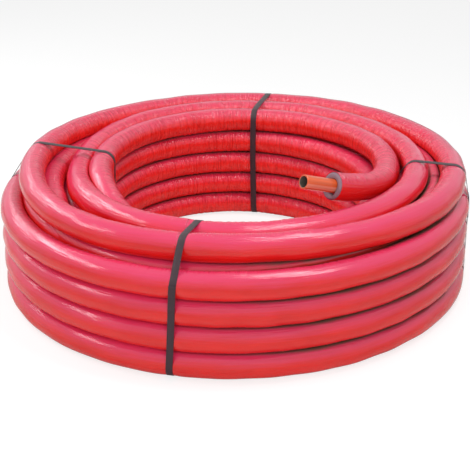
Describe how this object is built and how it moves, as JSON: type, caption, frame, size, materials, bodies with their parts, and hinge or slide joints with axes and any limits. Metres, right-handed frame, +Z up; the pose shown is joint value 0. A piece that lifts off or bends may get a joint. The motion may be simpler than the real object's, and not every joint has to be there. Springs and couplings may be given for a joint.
{
  "type": "insulated pex pipe coil",
  "caption": "Strapped coil of red film-faced, foam-insulated PEX pipe, lying flat, with its free end turned up into the bore.",
  "frame": {"origin": "on the floor under the middle of the coil, where its axis meets the plane that the straps' undersides rest on", "axes": "+Z up along the coil's axis, -Y towards the side that the front strap is on, +X towards the free end's side"},
  "size_m": [0.9596, 0.959, 0.3201],
  "materials": {
    "red_film": "glossy polyethylene film, wrinkled on the inside of the bends",
    "grey_foam": "matte closed-cell polyethylene foam",
    "orange_pex": "smooth extruded PEX, satin",
    "black_strap": "embossed polypropylene strapping"
  },
  "bodies": {
    "root": {"insulation_coil": "red_film", "film_end": "red_film", "foam_end": "grey_foam", "pex_pipe": "orange_pex", "strap_front": "black_strap", "strap_left": "black_strap", "strap_back": "black_strap", "strap_right": "black_strap"}
  },
  "joints": []
}
